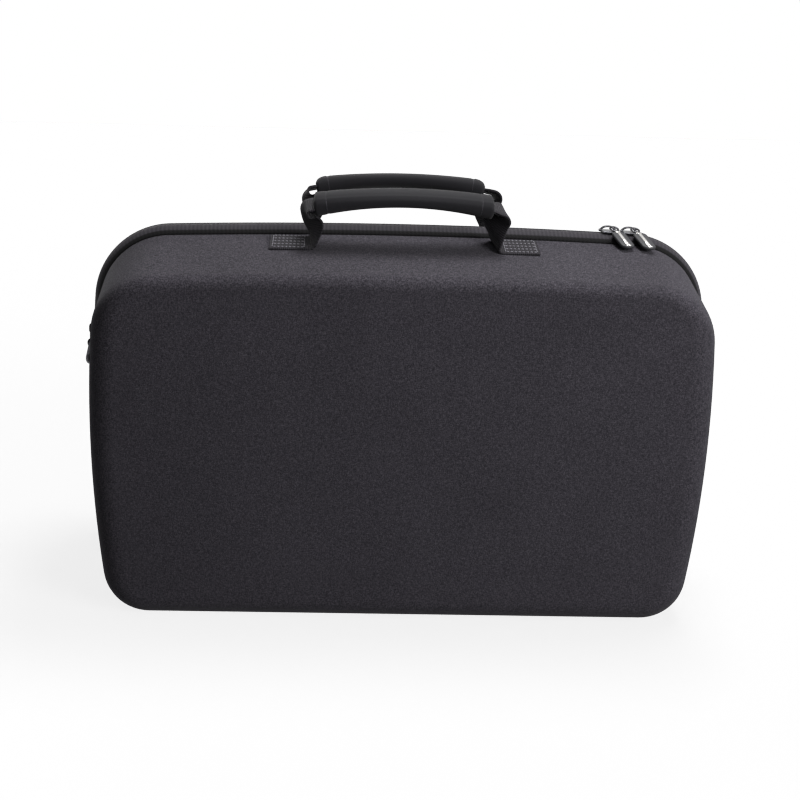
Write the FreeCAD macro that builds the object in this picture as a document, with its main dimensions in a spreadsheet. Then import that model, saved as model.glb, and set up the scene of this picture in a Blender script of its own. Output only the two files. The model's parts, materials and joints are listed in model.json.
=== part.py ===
"""Console storage case: a zipped hard clamshell with two webbing handles.

Frame: +X along the width, the lid's face towards -Y, +Z up, origin under the middle of the case.
The parting plane of the two shells is y = 0. All sizes are in millimetres.
"""
import FreeCAD, Part
import os
from math import acos, asin, atan2, cos, degrees, hypot, radians, sin, sqrt, tan, pi

import Sketcher

V = FreeCAD.Vector
FRONT, REAR = -1, 1
UP, ACROSS = V(0, 0, 1), V(0, 1, 0)
OUTER_TURNS, INNER_TURNS = (0, 22.5, 45, 67.5, 90), (0, 45, 90)

# Driving dimensions, one spreadsheet cell each
DIMENSIONS = {
    "case_width": 460, "case_height": 278, "half_depth": 89, "corner_radius": 54, "foot_radius": 40,
    "top_bow_radius": 4500, "side_bow_radius": 980, "foot_trim": 0.2,
    "draft_inset": 7.5, "edge_radius": 19, "top_draft": 12.6, "top_edge_radius": 10, "wall": 5,
    "seam_from_middle": 11.5, "rim_drop": 2.5, "rim_gap": 0.5,
    "zip_end_height": 82, "tape_rise": 6, "tape_thickness": 1.4, "zip_gap": 0.7,
    "coil_width": 2.9, "coil_depth": 2.2, "stop_length": 5, "sewing_gap": 0.05,
    "binding_thickness": 2.2, "binding_inset": 0.3, "cloth_clearance": 0.3,
    "webbing_width": 25, "webbing_thickness": 2, "strap_from_seam": 1,
    "patch_inner": 71, "patch_length": 27, "foot_bend": 3, "riser_length": 16.75, "rear_riser_length": 20.5,
    "riser_lean": 70, "shoulder_bend": 6, "arch_slope": 12,
    "sleeve_half_length": 65, "sleeve_width": 28, "sleeve_thickness": 8.6, "sleeve_bevel": 3,
    "tab_height": 184, "tab_from_middle": 5.5, "tab_lean": 16, "tab_length": 14, "tab_bed": 3.6,
    "ring_wire": 3.2, "ring_inner_width": 26, "ring_drop": 17, "ring_corner": 7, "ring_play": 0.4,
    "left_slider_x": 155, "right_slider_x": 171,
    "slider_length": 10, "slider_width": 10, "slider_corner": 3.5, "slider_plate": 2, "slider_lift": 0.4,
    "slider_post": 0.8, "slider_post_length": 4, "under_plate": 1.4, "under_top": 1.2,
    "crown_radius": 5.5, "crown_wire": 0.8, "crown_sink": 0.3, "eye_angle": 28,
    "eye_radius": 3.1, "eye_wire": 0.6,
    "left_pull_turn": 76, "right_pull_turn": 76, "pull_tilt": 21,
    "grip_start": 5.2, "grip_length": 20, "grip_width": 7.6, "grip_thickness": 3, "grip_bevel": 0.8,
    "spine_width": 2.2, "spine_thickness": 1, "spine_proud": 0.2, "fork_radius": 1.7,
    "fork_reach": 3.6, "strap_x": 95, "console_strap_width": 38, "console_strap_length": 190,
    "console_strap_foot": 40, "overlap_length": 70,
    "pocket_width": 370, "pocket_height": 150, "pocket_foot": 32, "pocket_depth": 13,
    "pocket_slope": 10, "pocket_cloth": 1.2,
    "pocket_hem": 8, "pocket_hem_thickness": 2.4,
}

doc = FreeCAD.newDocument("console_storage_case")
dims = doc.addObject("Spreadsheet::Sheet", "dims")
for row, (alias, value) in enumerate(DIMENSIONS.items(), start=1):
    dims.set(f"A{row}", alias.replace("_", " "))
    dims.set(f"B{row}", str(value))
    dims.setAlias(f"B{row}", alias)
doc.recompute()


def size(alias):
    """The value of one cell."""
    return float(dims.get(alias))


def total(*terms):
    """Signed cells such as "-wall" added up: the number, and the expression that gives it."""
    number = sum((-1 if term[0] == "-" else 1) * size(term[1:]) for term in terms)
    return number, "0" + "".join(f" {term[0]} dims.{term[1:]}" for term in terms)


# Rim outline: bowed top and sides, round corners, flat bottom

def rim_arcs(level):
    """Centres (x, z) and tangent angles of the arcs on the right half of an outline.

    level is the height of the outline's top, less its offset from the rim."""
    corner = size("corner_radius")
    top_radius, side_radius = size("top_bow_radius"), size("side_bow_radius")
    top = (0.0, level - top_radius)
    side = (size("case_width") / 2 - side_radius, size("case_height") / 2)
    gap = hypot(side[0] - top[0], side[1] - top[1])
    to_top, to_side = top_radius - corner, side_radius - corner
    along = (to_top ** 2 - to_side ** 2 + gap ** 2) / (2 * gap)
    off = sqrt(to_top ** 2 - along ** 2)
    ux, uz = (side[0] - top[0]) / gap, (side[1] - top[1]) / gap
    choices = [(top[0] + along * ux + s * off * uz, top[1] + along * uz - s * off * ux) for s in (1, -1)]
    shoulder = max(choices, key=lambda point: point[0])
    return {"top": top, "side": side, "shoulder": shoulder,
            "side_end": atan2(shoulder[1] - side[1], shoulder[0] - side[0]),
            "top_start": atan2(shoulder[1] - top[1], shoulder[0] - top[0])}


def foot_centre(bottom, offset=0.0):
    """Centre of a lower right corner arc that stands on a level bottom."""
    side = RIM["side"]
    z = bottom + size("foot_radius") + offset
    reach = size("side_bow_radius") - size("foot_radius")
    return side[0] + sqrt(reach ** 2 - (z - side[1]) ** 2), z


RIM = rim_arcs(size("case_height"))


def outline_sketch(body, name, side, depth, offset, bottom, level):
    """A closed outline at a depth from the parting plane, offset from the rim, between a bottom and a top level."""
    plane = next(f for f in body.Origin.OriginFeatures if f.Role == "XZ_Plane")
    sketch = body.newObject("Sketcher::SketchObject", name)
    sketch.AttachmentSupport = [(plane, "")]
    sketch.MapMode = "FlatFace"
    sketch.setExpression("AttachmentOffset.Base.z", f"{-side} * ({depth[1]})")
    corner, foot_radius = size("corner_radius") + offset[0], size("foot_radius") + offset[0]
    foot = foot_centre(bottom[0], offset[0])
    foot_angle = atan2(foot[1] - RIM["side"][1], foot[0] - RIM["side"][0])
    arcs = rim_arcs(level[0] - offset[0])
    side_end, top_start = arcs["side_end"], arcs["top_start"]

    def arc(centre, radius, start, end):
        circle = Part.Circle(V(centre[0], centre[1], 0), UP, radius)
        return Part.ArcOfCircle(circle, start, end)

    def mirrored(centre):
        return -centre[0], centre[1]

    side_radius = size("side_bow_radius") + offset[0]
    sketch.addGeometry([
        Part.LineSegment(V(-foot[0], bottom[0], 0), V(foot[0], bottom[0], 0)),
        arc(foot, foot_radius, -pi / 2, foot_angle),
        arc(RIM["side"], side_radius, foot_angle, side_end),
        arc(arcs["shoulder"], corner, side_end, top_start),
        arc(arcs["top"], size("top_bow_radius") + offset[0], top_start, pi - top_start),
        arc(mirrored(arcs["shoulder"]), corner, pi - top_start, pi - side_end),
        arc(mirrored(RIM["side"]), side_radius, pi - side_end, pi - foot_angle),
        arc(mirrored(foot), foot_radius, pi - foot_angle, 3 * pi / 2)], False)
    for edge in range(8):
        sketch.addConstraint(Sketcher.Constraint("Tangent", edge, 2, (edge + 1) % 8, 1))
    sketch.addConstraint(Sketcher.Constraint("Horizontal", 0))
    sketch.addConstraint(Sketcher.Constraint("PointOnObject", 4, 3, -2))

    def bind(kind, *where, value, expression):
        index = sketch.addConstraint(Sketcher.Constraint(kind, *where, value))
        sketch.setExpression(f"Constraints[{index}]", expression)

    if bottom[0]:
        bind("DistanceY", -1, 1, 0, 1, value=bottom[0], expression=bottom[1])
    else:
        sketch.addConstraint(Sketcher.Constraint("PointOnObject", 0, 1, -1))
    for edge in (3, 5):
        bind("Radius", edge, value=corner, expression=f"dims.corner_radius + {offset[1]}")
    for edge in (1, 7):
        bind("Radius", edge, value=foot_radius, expression=f"dims.foot_radius + {offset[1]}")
    for edge, way in ((2, 1), (6, -1)):
        bind("Radius", edge, value=side_radius, expression=f"dims.side_bow_radius + {offset[1]}")
        bind("DistanceX", -1, 1, edge, 3, value=way * RIM["side"][0],
             expression=f"{way} * (dims.case_width / 2 - dims.side_bow_radius)")
        bind("DistanceY", -1, 1, edge, 3, value=RIM["side"][1], expression="dims.case_height / 2")
    bind("Radius", 4, value=size("top_bow_radius") + offset[0],
         expression=f"dims.top_bow_radius + {offset[1]}")
    bind("DistanceY", -1, 1, 4, 3, value=arcs["top"][1],
         expression=f"{level[1]} - {offset[1]} - dims.top_bow_radius")
    return sketch


# Shells: moulded foam trays with drafted walls, a round front edge and a stepped sewing rim

def add_tray(body, label, side, start, skin, foot, turns):
    """Loft a drafted wall and a quarter round, from a start depth to a closed face.

    start, skin and foot are (number, expression) pairs: the first depth, how far inside the outer
    surface it runs, and its bottom level. turns are the quarter round's stations in degrees."""
    radius = size("edge_radius") - skin[0], f"(dims.edge_radius - ({skin[1]}))"
    wall_end = size("half_depth") - size("edge_radius"), "(dims.half_depth - dims.edge_radius)"
    slope = (size("draft_inset") / (size("half_depth") - start[0]),
             f"(dims.draft_inset / (dims.half_depth - ({start[1]})))")
    # The top slopes more than the sides and meets the face in a smaller round
    fall, small = tan(radians(size("top_draft"))), size("top_edge_radius") - skin[0]
    small_text = f"(dims.top_edge_radius - ({skin[1]}))"
    middle = wall_end[0] + radius[0] - small, f"({wall_end[1]} + {radius[1]} - {small_text})"

    def top_line(depth):
        """Height of the sloping top at a depth."""
        past = max(0.0, depth[0] - size("seam_from_middle"))
        text = f"({depth[1]} - dims.seam_from_middle)" if past else "0"
        return (size("case_height") - skin[0] - fall * past,
                f"(dims.case_height - ({skin[1]}) - tan(dims.top_draft) * {text})")

    line = top_line(middle)
    centre = (line[0] - small / cos(radians(size("top_draft"))),
              f"({line[1]} - {small_text} / cos(dims.top_draft))")

    def top_level(depth, turn):
        if turn == 90:
            return centre
        if depth[0] <= middle[0] + small * sin(radians(size("top_draft"))):
            return top_line(depth)
        return (centre[0] + sqrt(small ** 2 - (depth[0] - middle[0]) ** 2),
                f"({centre[1]} + sqrt({small_text}^2 - ({depth[1]} - {middle[1]})^2))")

    steps = [(0, 0)] + [(1, turn) for turn in turns]
    sketches = []
    for number, (share, turn) in enumerate(steps):
        drop = radius[0] * (1 - cos(radians(turn))), f"{radius[1]} * (1 - cos({turn}))"
        depth = (start[0] + share * (wall_end[0] - start[0]) + radius[0] * sin(radians(turn)),
                 f"({start[1]}) + {share} * ({wall_end[1]} - ({start[1]})) + {radius[1]} * sin({turn})")
        offset = (-skin[0] - slope[0] * (depth[0] - start[0]) - drop[0],
                  f"(-({skin[1]}) - {slope[1]} * ({depth[1]} - ({start[1]})) - {drop[1]})")
        bottom = foot[0] + drop[0], f"({foot[1]}) + {drop[1]}"
        level = top_level(depth, turn)
        sketches.append(outline_sketch(body, f"{label}_{number}", side, depth, offset, bottom, level))
    loft = body.newObject("PartDesign::AdditiveLoft", label)
    loft.Profile, loft.Sections, loft.Ruled = sketches[0], sketches[1:], True
    doc.recompute()


def make_shell(label, side):
    body = doc.addObject("PartDesign::Body", label)
    add_tray(body, f"{label}_tray", side, total("+seam_from_middle"), total(), total("-foot_trim"), OUTER_TURNS)
    trim = body.newObject("PartDesign::SubtractiveBox", f"{label}_foot")
    for prop, expression in (("Length", "dims.case_width"), ("Width", "2 * dims.half_depth"), ("Height", "1"),
                             ("Placement.Base.x", "-dims.case_width / 2"),
                             ("Placement.Base.y", "-dims.half_depth"), ("Placement.Base.z", "-1")):
        trim.setExpression(prop, expression)
    doc.recompute()
    flange = body.newObject("PartDesign::Pad", f"{label}_flange")
    flange.Profile = outline_sketch(body, f"{label}_flange_outline", side, total("+seam_from_middle"),
                                    total("-rim_drop"), total("+rim_drop"), total("+case_height", "-rim_drop"))
    flange.setExpression("Length", "dims.seam_from_middle - dims.rim_gap")
    flange.Reversed = side == FRONT
    doc.recompute()
    core = doc.addObject("PartDesign::Body", f"{label}_core")
    add_tray(core, f"{label}_cavity", side, total("+rim_gap"), total("+wall"), total("+wall"), INNER_TURNS)
    hollow = body.newObject("PartDesign::Boolean", f"{label}_hollow")
    hollow.Type = "Cut"
    hollow.setObjects([core])
    doc.recompute()
    return body


# Bands that follow the rim: zip tapes, coils, stops and bindings

def polar(centre, radius, angle, y):
    return V(centre[0] + radius * cos(angle), y, centre[1] + radius * sin(angle))


def band(profile, side, runs):
    """A profile of (from parting plane, above rim) points, turned along runs of the rim outline.

    A run is (centre, radius, start angle, end angle)."""
    solids = []
    for centre, radius, start, end in runs:
        points = [polar(centre, radius + above, start, side * across) for across, above in profile]
        face = Part.Face(Part.makePolygon(points))
        axis_point = V(centre[0], 0, centre[1])
        solids.append(face.revolve(axis_point, V(0, -1, 0), degrees(end - start)))
    if len(solids) == 1:
        return solids[0]
    return solids[0].fuse(solids[1:]).removeSplitter()


def mirror_x(shape):
    return shape.mirror(V(0, 0, 0), V(1, 0, 0))


def side_angle(height):
    """Angle on the right side's bow at a height above the floor."""
    return asin((height - RIM["side"][1]) / size("side_bow_radius"))


def side_run(low, high):
    return RIM["side"], size("side_bow_radius"), side_angle(low), side_angle(high)


def zip_runs(low):
    """The right half of the zip, from a height on the side to the middle of the top."""
    corner = size("corner_radius")
    return [(RIM["side"], size("side_bow_radius"), side_angle(low), RIM["side_end"]),
            (RIM["shoulder"], corner, RIM["side_end"], RIM["top_start"]),
            (RIM["top"], size("top_bow_radius"), RIM["top_start"], pi / 2)]


def both_halves(profile, side, runs):
    half = band(profile, side, runs)
    return half.fuse(mirror_x(half)).removeSplitter()


def tape_curve():
    """Radius and centre height of the tape's outer bulge, level at the zip."""
    rise, reach = size("tape_rise"), size("seam_from_middle") - size("zip_gap")
    radius = (reach ** 2 + rise ** 2) / (2 * rise)
    return radius, rise - radius


def bulge(radius, across):
    """Height above the rim of the tape's arc, at a distance across from the parting plane."""
    centre = tape_curve()[1]
    return centre + sqrt(radius ** 2 - (across - size("zip_gap")) ** 2)


def bulge_points(radius, start, end, count):
    """Points along the tape's arc, from one distance across to another."""
    steps = [start + (end - start) * step / count for step in range(count + 1)]
    return [(across, bulge(radius, across)) for across in steps]


def tape_profile():
    seam, gap, drop = size("seam_from_middle"), size("zip_gap"), -size("rim_drop")
    outer = tape_curve()[0]
    inner = outer - size("tape_thickness")
    foot, far = seam - size("tape_thickness"), gap + size("coil_width")
    return ([(seam, drop)] + bulge_points(outer, seam, gap, 4) + bulge_points(inner, gap, far, 1)
            + bulge_points(inner, far, foot, 1)[1:] + [(foot, drop), (seam, drop)])


def coil_profile():
    gap, inner = size("zip_gap"), tape_curve()[0] - size("tape_thickness")
    far = gap + size("coil_width")
    top = bulge(inner, far) - size("sewing_gap")
    low = bulge(inner, gap) - size("coil_depth")
    return [(gap, low), (gap, top), (far, top), (far, low), (gap, low)]


def binding_profile():
    low = size("sewing_gap") - size("rim_drop")
    high = low + size("binding_thickness")
    near, far = size("rim_gap"), size("seam_from_middle") - size("binding_inset")
    return [(near, low), (far, low), (far, high), (near, high), (near, low)]


def feature(label, shape):
    """A document object whose shape comes from the functions above."""
    piece = doc.addObject("Part::Feature", label)
    piece.Shape = shape
    return piece


def make_zip_half(name, side):
    end, stop = size("zip_end_height"), size("stop_length")
    tape = feature(f"{name}_zip_tape", both_halves(tape_profile(), side, zip_runs(end)))
    coil = feature(f"{name}_zip_coil", both_halves(coil_profile(), side, zip_runs(end + stop)))
    lug = band(coil_profile(), side, [side_run(end, end + stop)])
    stops = [feature(f"{name}_right_stop", lug), feature(f"{name}_left_stop", mirror_x(lug))]
    return [tape, coil] + stops


def make_bindings(name, side):
    """Fabric bound over the rim below the zip's ends, round the lower corners."""
    foot = foot_centre(0)
    turn = atan2(foot[1] - RIM["side"][1], foot[0] - RIM["side"][0])
    high = side_angle(size("zip_end_height") - size("cloth_clearance"))
    right = band(binding_profile(), side, [(RIM["side"], size("side_bow_radius"), turn, high),
                                           (foot, size("foot_radius"), -pi / 2, turn)])
    return [feature(f"{name}_right_binding", right), feature(f"{name}_left_binding", mirror_x(right))]


def make_hinge_spine():
    """The cloth hinge, let into the step under both rims and sewn to the rear one."""
    far = size("seam_from_middle") - size("binding_inset")
    high, clear = size("rim_drop"), size("cloth_clearance")
    near, low = size("rim_gap"), high - size("binding_thickness")
    half = foot_centre(0)[0]
    section = [(-far, low), (far, low), (far, high), (near, high), (near, high - clear),
               (-far, high - clear), (-far, low)]
    wire = Part.makePolygon([V(-half, y, z) for y, z in section])
    return feature("hinge_spine", Part.Face(wire).extrude(V(2 * half, 0, 0)))


# Handles: a webbing strap sewn to the shell, and a padded sleeve round its arch

def handle_moves(riser):
    """Straights and turns of the strap's middle line, from the right end to the left end."""
    lean, slope = size("riser_lean"), size("arch_slope")
    rise = [("go", size("patch_length")), ("turn", size("foot_bend"), lean - 180),
            ("go", riser), ("turn", size("shoulder_bend"), 180 - slope - lean)]
    end = walk((size("patch_inner") + size("patch_length"), 0), 180, rise)[1]
    arch = end[0] / sin(radians(slope))
    centre = (0.0, end[1] - arch * cos(radians(slope)))
    return rise + [("turn", arch, 2 * slope)] + rise[::-1], arch, centre


def walk(start, heading, moves, offset=0.0):
    """Edges of a path of straights and tangent arcs in XZ, shifted to its left by offset."""
    angle = radians(heading)
    x, z = start[0] - offset * sin(angle), start[1] + offset * cos(angle)
    edges = []
    for move in moves:
        if move[0] == "go":
            nx, nz = x + move[1] * cos(angle), z + move[1] * sin(angle)
            edges.append(Part.makeLine(V(x, 0, z), V(nx, 0, nz)))
        else:
            turn = radians(move[2])
            way = 1 if turn > 0 else -1
            radius = move[1] - way * offset
            cx, cz = x - way * radius * sin(angle), z + way * radius * cos(angle)

            def on_arc(share):
                at = angle + turn * share
                return V(cx + way * radius * sin(at), 0, cz - way * radius * cos(at))
            edges.append(Part.Arc(on_arc(0), on_arc(0.5), on_arc(1)).toShape())
            nx, nz = on_arc(1).x, on_arc(1).z
            angle += turn
        x, z = nx, nz
    return edges, (x, z)


def make_handle(name, side, shell):
    moves, arch, centre = handle_moves(size("rear_riser_length" if side == REAR else "riser_length"))
    half = size("webbing_thickness") / 2
    start = (size("patch_inner") + size("patch_length"), 0)
    upper, lower = (walk(start, 180, moves, offset)[0] for offset in (-half, half))
    ends = [Part.makeLine(upper[i].Vertexes[j].Point, lower[i].Vertexes[j].Point) for i, j in ((0, 0), (-1, -1))]
    loop = Part.Wire(Part.sortEdges(upper + lower + ends)[0])
    width = size("webbing_width")
    strap = Part.Face(loop).extrude(V(0, side * width, 0))
    swing = asin(size("sleeve_half_length") / arch)
    wide, thick = size("sleeve_width"), size("sleeve_thickness")
    pad = Part.makeBox(wide, thick, 1, V(-wide / 2, -thick / 2, 0))
    outline = pad.makeChamfer(size("sleeve_bevel"), [e for e in pad.Edges if abs(e.tangentAt(0).z) > 0.9])
    section = next(f for f in outline.Faces if f.normalAt(0, 0).z < -0.9)
    # The section stands across the arch: its width along Y, its thickness along the radius
    section.Placement = FreeCAD.Placement(
        V(arch * sin(swing) + centre[0], side * width / 2, centre[1] + arch * cos(swing)),
        FreeCAD.Rotation(V(0, 1, 0), V(sin(swing), 0, cos(swing)), V(0, 0, 0), "XYZ"))
    sleeve = section.revolve(V(centre[0], 0, centre[1]), V(0, -1, 0), 2 * degrees(swing))
    sleeve = sleeve.cut(strap)
    # The strap lies along the drafted top wall, and its patches are trimmed to the wall
    slope = size("top_draft")
    bow_drop = size("case_height") - (RIM["top"][1] + sqrt(size("top_bow_radius") ** 2 - start[0] ** 2))
    seat = size("case_height") - bow_drop - size("strap_from_seam") * tan(radians(slope)) + half
    place = FreeCAD.Placement(V(0, side * (size("seam_from_middle") + size("strap_from_seam")), seat),
                              FreeCAD.Rotation(V(1, 0, 0), -side * slope))
    for shape in (strap, sleeve):
        shape.Placement = place.multiply(shape.Placement)
    strap = strap.cut(shell.Shape)
    return [feature(f"{name}_handle_strap", strap), feature(f"{name}_handle_sleeve", sleeve)]


# Shoulder strap rings: a webbing tab on each side of the rear shell, with a wire ring in its loop

def ring_frame():
    """The place of the left tab's loop: x out of the case, y across the tab, z up the wall."""
    height, half = size("tab_height"), size("webbing_width") / 2
    near, lean = size("tab_from_middle"), radians(size("tab_lean"))
    across = near + half * cos(lean)
    above = bulge(tape_curve()[0], near) + size("cloth_clearance") - half * sin(lean)
    wall = RIM["side"][0] + size("side_bow_radius") * cos(side_angle(height)) + above
    turn = FreeCAD.Rotation(UP, 180 - degrees(lean))
    tip = FreeCAD.Rotation(ACROSS, -degrees(side_angle(height)))
    return FreeCAD.Placement(V(-wall, across, height), turn.multiply(tip))


def wire_ring(inner_width, drop, corner, wire):
    """A D-ring of eight-sided wire that hangs from its straight bar along Y."""
    half, low = inner_width / 2 + wire, corner - drop
    y, tilt = half - corner, corner * sqrt(0.5)
    legs = [Part.makeLine(V(0, half, 0), V(0, half, low)),
            Part.Arc(V(0, half, low), V(0, y + tilt, low - tilt), V(0, y, -drop)).toShape(),
            Part.makeLine(V(0, y, -drop), V(0, -y, -drop)),
            Part.Arc(V(0, -y, -drop), V(0, -y - tilt, low - tilt), V(0, -half, low)).toShape(),
            Part.makeLine(V(0, -half, low), V(0, -half, 0))]
    turns = [pi / 8 + step * pi / 4 for step in range(9)]
    eight = [V(wire * cos(turn), half + wire * sin(turn), 0) for turn in turns]
    bow = Part.Wire(legs).makePipeShell([Part.makePolygon(eight)], True, False)
    flat = [V(wire * cos(turn), -half - wire, wire * sin(turn)) for turn in turns]
    bar = Part.Face(Part.makePolygon(flat)).extrude(V(0, 2 * half + 2 * wire, 0))
    return bow.fuse(bar).removeSplitter()


def make_ring(shell, tape):
    thick, wide = size("webbing_thickness"), size("webbing_width")
    wire = size("ring_wire") / 2
    hole = wire + size("ring_play")
    loop_radius = hole + thick
    loop = Part.makeCylinder(loop_radius, wide, V(loop_radius, -wide / 2, 0), ACROSS)
    bed = size("tab_bed")
    strip = Part.makeBox(2 * thick + bed, wide, size("tab_length"), V(-bed, -wide / 2, 0))
    tab = loop.fuse(strip).removeSplitter()
    tab = tab.cut(Part.makeCylinder(hole, wide, V(loop_radius, -wide / 2, 0), ACROSS))
    ring = wire_ring(size("ring_inner_width"), size("ring_drop"), size("ring_corner"), wire)
    ring.translate(V(loop_radius, 0, 0))
    frame = ring_frame()
    for shape in (tab, ring):
        shape.Placement = frame.multiply(shape.Placement)
    # The tab's bed follows the shell and the rear zip tape
    tab = max(tab.cut([shell.Shape, tape.Shape]).Solids, key=lambda solid: solid.Volume)
    return [feature("left_ring_tab", tab), feature("right_ring_tab", mirror_x(tab)),
            feature("left_d_ring", ring), feature("right_d_ring", mirror_x(ring))]


# Sliders: plates above and below the chain, a post between its halves and a wire crown

def zip_place(centre, radius, angle):
    """Frame on the rim outline: x along the zip to the right, z out of the case."""
    point = polar(centre, radius, angle, 0)
    return FreeCAD.Placement(point, FreeCAD.Rotation(ACROSS, 90 - degrees(angle)))


def slider_places():
    top = size("top_bow_radius")
    return {name: zip_place(RIM["top"], top, acos(size(f"{name}_slider_x") / top)) for name in ("left", "right")}


def primitive(kind, name, **bound):
    """A Part primitive whose properties are bound to cells."""
    piece = doc.addObject(f"Part::{kind}", name)
    for prop, expression in bound.items():
        piece.setExpression(prop.replace("__", "."), expression)
    return piece


def wire_crown():
    """Half a hoop of eight-sided wire that stands along X."""
    hoop, wire = size("crown_radius"), size("crown_wire")
    turns = [pi / 8 + step * pi / 4 for step in range(9)]
    eight = [V(hoop + wire * cos(turn), wire * sin(turn), 0) for turn in turns]
    return Part.Face(Part.makePolygon(eight)).revolve(V(0, 0, 0), V(0, -1, 0), 180)


def make_slider(name, place):
    plate_top = "dims.tape_rise + dims.slider_lift + dims.slider_plate"
    plate = primitive("Box", f"{name}_plate", Length="dims.slider_length", Width="dims.slider_width",
                      Height="dims.slider_plate", Placement__Base__x="-dims.slider_length / 2",
                      Placement__Base__y="-dims.slider_width / 2",
                      Placement__Base__z="dims.tape_rise + dims.slider_lift")
    under = primitive("Box", f"{name}_under", Length="dims.slider_length", Width="dims.slider_width",
                      Height="dims.under_plate", Placement__Base__x="-dims.slider_length / 2",
                      Placement__Base__y="-dims.slider_width / 2",
                      Placement__Base__z="dims.under_top - dims.under_plate")
    post = primitive("Box", f"{name}_post", Length="dims.slider_post_length", Width="dims.slider_post",
                     Height=f"{plate_top} - dims.under_top", Placement__Base__x="-dims.slider_post_length / 2",
                     Placement__Base__y="-dims.slider_post / 2", Placement__Base__z="dims.under_top")
    crown = feature(f"{name}_crown", wire_crown())
    crown.setExpression("Placement.Base.z", f"{plate_top} - dims.crown_sink")
    doc.recompute()
    rounded = []
    for block in (plate, under):
        fillet = doc.addObject("Part::Fillet", f"{block.Name}_round")
        fillet.Base = block
        upright = [n for n, e in enumerate(block.Shape.Edges, start=1) if abs(e.tangentAt(0).z) > 0.9]
        fillet.Edges = [(n, size("slider_corner"), size("slider_corner")) for n in upright]
        rounded.append(fillet)
    slider = doc.addObject("Part::MultiFuse", name)
    slider.Shapes = [rounded[0], post, rounded[1], crown]
    slider.Refine = True
    slider.Placement = place
    doc.recompute()
    return slider


def pull_place(place, turn):
    """Frame at the pull's eye: x along the pull, z out of its flat side."""
    ring, angle = size("crown_radius"), radians(size("eye_angle"))
    base = size("tape_rise") + size("slider_lift") + size("slider_plate") - size("crown_sink")
    eye = V(ring * cos(angle), 0, base + ring * sin(angle))
    lie = FreeCAD.Rotation(UP, -turn).multiply(FreeCAD.Rotation(ACROSS, size("pull_tilt")))
    return place.multiply(FreeCAD.Placement(eye, lie))


def make_pull(name, place):
    """A flat eye with a forked metal spine, let into the face of a soft grip."""
    start, length = size("grip_start"), size("grip_length")
    wide, thick = size("grip_width"), size("grip_thickness")
    grip = Part.makeBox(length, wide, thick, V(start, -wide / 2, -thick / 2))
    corner = wide / 2 - 0.01
    grip = grip.makeFillet(corner, [e for e in grip.Edges if abs(e.tangentAt(0).z) > 0.9])
    rims = [e for e in grip.Edges if abs(abs(e.CenterOfMass.z) - thick / 2) < 1e-6]
    grip = grip.makeChamfer(size("grip_bevel"), rims)
    ring, wire = size("eye_radius"), size("eye_wire")
    eye = Part.makeCylinder(ring + wire, 2 * wire, V(0, 0, -wire))
    eye = eye.cut(Part.makeCylinder(ring - wire, 2 * wire, V(0, 0, -wire)))
    spine_thick, spine_wide = size("spine_thickness"), size("spine_width")
    top = thick / 2 + size("spine_proud")
    fork, reach = size("fork_radius"), size("fork_reach")
    far = start + length - reach
    near = start + reach
    bar = Part.makeBox(far - near, spine_wide, spine_thick, V(near, -spine_wide / 2, top - spine_thick))
    neck = Part.makeBox(near - ring, spine_wide, 2 * wire, V(ring, -spine_wide / 2, -wire))
    riser = Part.makeBox(spine_wide, spine_wide, top + wire, V(near, -spine_wide / 2, -wire))
    core = eye.fuse([bar, neck, riser])
    for at, way in ((near, -1), (far, 1)):
        head = Part.makeCylinder(fork, spine_thick, V(at, 0, top - spine_thick))
        notch = Part.makeCylinder(fork * 0.7, spine_thick, V(at + way * fork * 1.2, 0, top - spine_thick))
        core = core.fuse(head).cut(notch)
    core = core.fuse(neck).removeSplitter()
    grip = grip.cut(core)
    pieces = []
    for label, shape in (("pull_spine", core), ("pull_grip", grip)):
        shape.Placement = place
        pieces.append(feature(f"{name}_{label}", shape))
    return pieces


# Inside: two webbing straps over the console, and a net pocket in the lid

def rectangle(body, name, depth, low, high, half_low, half_high):
    """A four-sided sketch on an XZ plane at y = depth."""
    plane = next(f for f in body.Origin.OriginFeatures if f.Role == "XZ_Plane")
    sketch = body.newObject("Sketcher::SketchObject", name)
    sketch.AttachmentSupport = [(plane, "")]
    sketch.MapMode = "FlatFace"
    sketch.setExpression("AttachmentOffset.Base.z", f"-({depth})")
    points = [V(-half_low[0], low[0], 0), V(half_low[0], low[0], 0),
              V(half_high[0], high[0], 0), V(-half_high[0], high[0], 0)]
    for at in range(4):
        sketch.addGeometry(Part.LineSegment(points[at], points[(at + 1) % 4]), False)
    for at in range(4):
        sketch.addConstraint(Sketcher.Constraint("Coincident", at, 2, (at + 1) % 4, 1))
    for at, (half, level) in enumerate(((half_low, low), (half_high, high))):
        right = (0, 2) if at == 0 else (1, 2)
        left = (0, 1) if at == 0 else (2, 2)
        for spot, way in ((right, 1), (left, -1)):
            index = sketch.addConstraint(Sketcher.Constraint("DistanceX", -1, 1, *spot, way * half[0]))
            sketch.setExpression(f"Constraints[{index}]", f"{way} * ({half[1]})")
            index = sketch.addConstraint(Sketcher.Constraint("DistanceY", -1, 1, *spot, level[0]))
            sketch.setExpression(f"Constraints[{index}]", level[1])
    return sketch


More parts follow.
